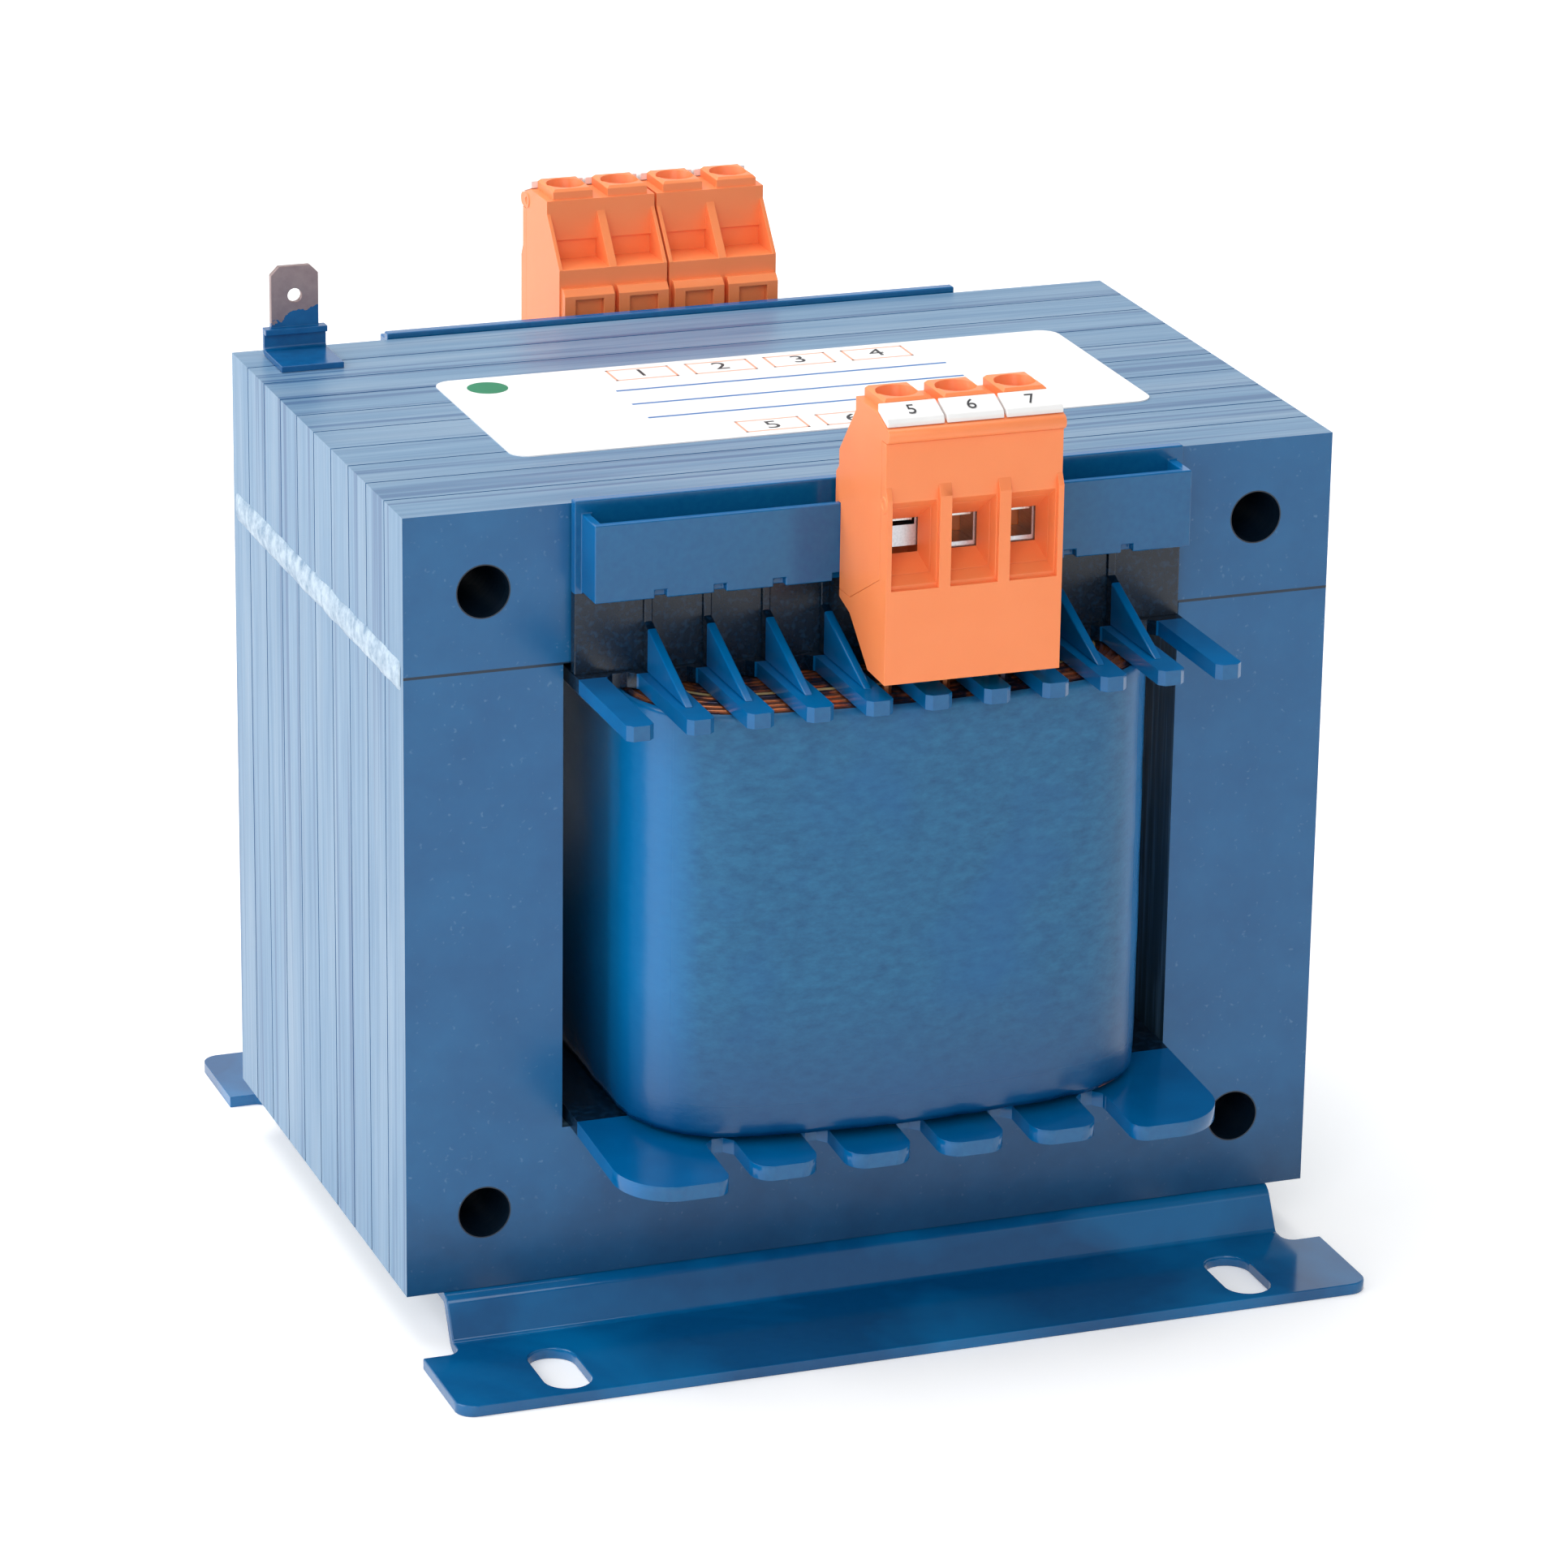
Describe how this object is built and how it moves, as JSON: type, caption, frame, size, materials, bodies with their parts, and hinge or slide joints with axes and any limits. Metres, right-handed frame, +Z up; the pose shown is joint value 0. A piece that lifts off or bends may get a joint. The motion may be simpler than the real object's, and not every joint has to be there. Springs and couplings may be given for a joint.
{
  "type": "control transformer",
  "caption": "Open control transformer: laminated EI core with a wound bobbin, slotted mounting feet, screw terminal blocks on rails and an earth blade.",
  "frame": {"origin": "middle of the footprint, on the surface that the feet are screwed to", "axes": "+X across the core, +Y from the three-pole terminal side to the four-pole side, +Z up from the mounting surface"},
  "size_m": [0.121, 0.123, 0.1218],
  "materials": {
    "coated_laminations": "satin blue impregnating varnish over laminated steel",
    "coated_sheet_steel": "glossy blue varnish over pressed steel",
    "weld_metal": "rough weld metal under thin varnish",
    "coated_bobbin": "glossy blue varnish over a moulding",
    "varnished_wrap": "mottled varnished wrap",
    "insulation_film": "matt film",
    "enamelled_copper": "enamelled copper wire",
    "orange_housing": "satin moulded plastic",
    "tinned_strip": "bright tinned copper",
    "zinc_plated_steel": "bright zinc plated steel",
    "white_marker": "matt moulded plastic",
    "white_label": "matt printed film, left blank",
    "copper_blade": "tarnished copper alloy sheet"
  },
  "bodies": {
    "transformer": {"bobbin": "coated_bobbin", "coil_wrap": "varnished_wrap", "e_laminations": "coated_laminations", "earth_blade": "copper_blade", "front_current_strip_1": "tinned_strip", "front_current_strip_2": "tinned_strip", "front_current_strip_3": "tinned_strip", "front_foot": "coated_sheet_steel", "front_gussets": "coated_bobbin", "front_marker_1": "white_marker", "front_marker_2": "white_marker", "front_marker_3": "white_marker", "front_terminal_body": "orange_housing", "front_terminal_cover": "orange_housing", "front_terminal_rail": "coated_bobbin", "i_laminations": "coated_laminations", "primary_leads": "enamelled_copper", "primary_winding": "enamelled_copper", "rating_label": "white_label", "rear_current_strip_1": "tinned_strip", "rear_current_strip_2": "tinned_strip", "rear_current_strip_3": "tinned_strip", "rear_current_strip_4": "tinned_strip", "rear_foot": "coated_sheet_steel", "rear_gussets": "coated_bobbin", "rear_marker_1": "white_marker", "rear_marker_2": "white_marker", "rear_marker_3": "white_marker", "rear_marker_4": "white_marker", "rear_terminal_body_1": "orange_housing", "rear_terminal_body_2": "orange_housing", "rear_terminal_cover_1": "orange_housing", "rear_terminal_cover_2": "orange_housing", "rear_terminal_rail": "coated_bobbin", "secondary_leads": "enamelled_copper", "secondary_winding": "enamelled_copper", "weld_runs": "weld_metal", "winding_insulation": "insulation_film"},
    "front_screw_1": {"front_clamp_screw_1": "zinc_plated_steel"},
    "front_cage_1": {"front_clamp_cage_1": "zinc_plated_steel"},
    "front_screw_2": {"front_clamp_screw_2": "zinc_plated_steel"},
    "front_cage_2": {"front_clamp_cage_2": "zinc_plated_steel"},
    "front_screw_3": {"front_clamp_screw_3": "zinc_plated_steel"},
    "front_cage_3": {"front_clamp_cage_3": "zinc_plated_steel"},
    "rear_screw_1": {"rear_clamp_screw_1": "zinc_plated_steel"},
    "rear_cage_1": {"rear_clamp_cage_1": "zinc_plated_steel"},
    "rear_screw_2": {"rear_clamp_screw_2": "zinc_plated_steel"},
    "rear_cage_2": {"rear_clamp_cage_2": "zinc_plated_steel"},
    "rear_screw_3": {"rear_clamp_screw_3": "zinc_plated_steel"},
    "rear_cage_3": {"rear_clamp_cage_3": "zinc_plated_steel"},
    "rear_screw_4": {"rear_clamp_screw_4": "zinc_plated_steel"},
    "rear_cage_4": {"rear_clamp_cage_4": "zinc_plated_steel"}
  },
  "joints": [
    {"name": "front_screw_1_turn", "type": "hinge", "parent": "transformer", "child": "front_screw_1", "pos_m": [-0.00375, -0.0524, 0.114], "axis": [0, 0, -1], "range_deg": [-1944, 216]},
    {"name": "front_cage_1_lift", "type": "slide", "parent": "transformer", "child": "front_cage_1", "axis": [0, 0, 1], "range_m": [-0.0027, 0.0003]},
    {"name": "front_screw_2_turn", "type": "hinge", "parent": "transformer", "child": "front_screw_2", "pos_m": [0.00375, -0.0524, 0.114], "axis": [0, 0, -1], "range_deg": [0, 2160]},
    {"name": "front_cage_2_lift", "type": "slide", "parent": "transformer", "child": "front_cage_2", "axis": [0, 0, 1], "range_m": [0, 0.003]},
    {"name": "front_screw_3_turn", "type": "hinge", "parent": "transformer", "child": "front_screw_3", "pos_m": [0.01125, -0.0524, 0.114], "axis": [0, 0, -1], "range_deg": [0, 2160]},
    {"name": "front_cage_3_lift", "type": "slide", "parent": "transformer", "child": "front_cage_3", "axis": [0, 0, 1], "range_m": [0, 0.003]},
    {"name": "rear_screw_1_turn", "type": "hinge", "parent": "transformer", "child": "rear_screw_1", "pos_m": [0.01235, 0.0524, 0.114], "axis": [0, 0, -1], "range_deg": [0, 2160]},
    {"name": "rear_cage_1_lift", "type": "slide", "parent": "transformer", "child": "rear_cage_1", "axis": [0, 0, 1], "range_m": [0, 0.003]},
    {"name": "rear_screw_2_turn", "type": "hinge", "parent": "transformer", "child": "rear_screw_2", "pos_m": [0.00485, 0.0524, 0.114], "axis": [0, 0, -1], "range_deg": [0, 2160]},
    {"name": "rear_cage_2_lift", "type": "slide", "parent": "transformer", "child": "rear_cage_2", "axis": [0, 0, 1], "range_m": [0, 0.003]},
    {"name": "rear_screw_3_turn", "type": "hinge", "parent": "transformer", "child": "rear_screw_3", "pos_m": [-0.00285, 0.0524, 0.114], "axis": [0, 0, -1], "range_deg": [0, 2160]},
    {"name": "rear_cage_3_lift", "type": "slide", "parent": "transformer", "child": "rear_cage_3", "axis": [0, 0, 1], "range_m": [0, 0.003]},
    {"name": "rear_screw_4_turn", "type": "hinge", "parent": "transformer", "child": "rear_screw_4", "pos_m": [-0.01035, 0.0524, 0.114], "axis": [0, 0, -1], "range_deg": [0, 2160]},
    {"name": "rear_cage_4_lift", "type": "slide", "parent": "transformer", "child": "rear_cage_4", "axis": [0, 0, 1], "range_m": [0, 0.003]}
  ],
  "couplings": [
    {"joint": "front_screw_1_turn", "follows": "front_cage_1_lift", "rad_per_m": 12566},
    {"joint": "front_screw_2_turn", "follows": "front_cage_2_lift", "rad_per_m": 12566},
    {"joint": "front_screw_3_turn", "follows": "front_cage_3_lift", "rad_per_m": 12566},
    {"joint": "rear_screw_1_turn", "follows": "rear_cage_1_lift", "rad_per_m": 12566},
    {"joint": "rear_screw_2_turn", "follows": "rear_cage_2_lift", "rad_per_m": 12566},
    {"joint": "rear_screw_3_turn", "follows": "rear_cage_3_lift", "rad_per_m": 12566},
    {"joint": "rear_screw_4_turn", "follows": "rear_cage_4_lift", "rad_per_m": 12566}
  ]
}
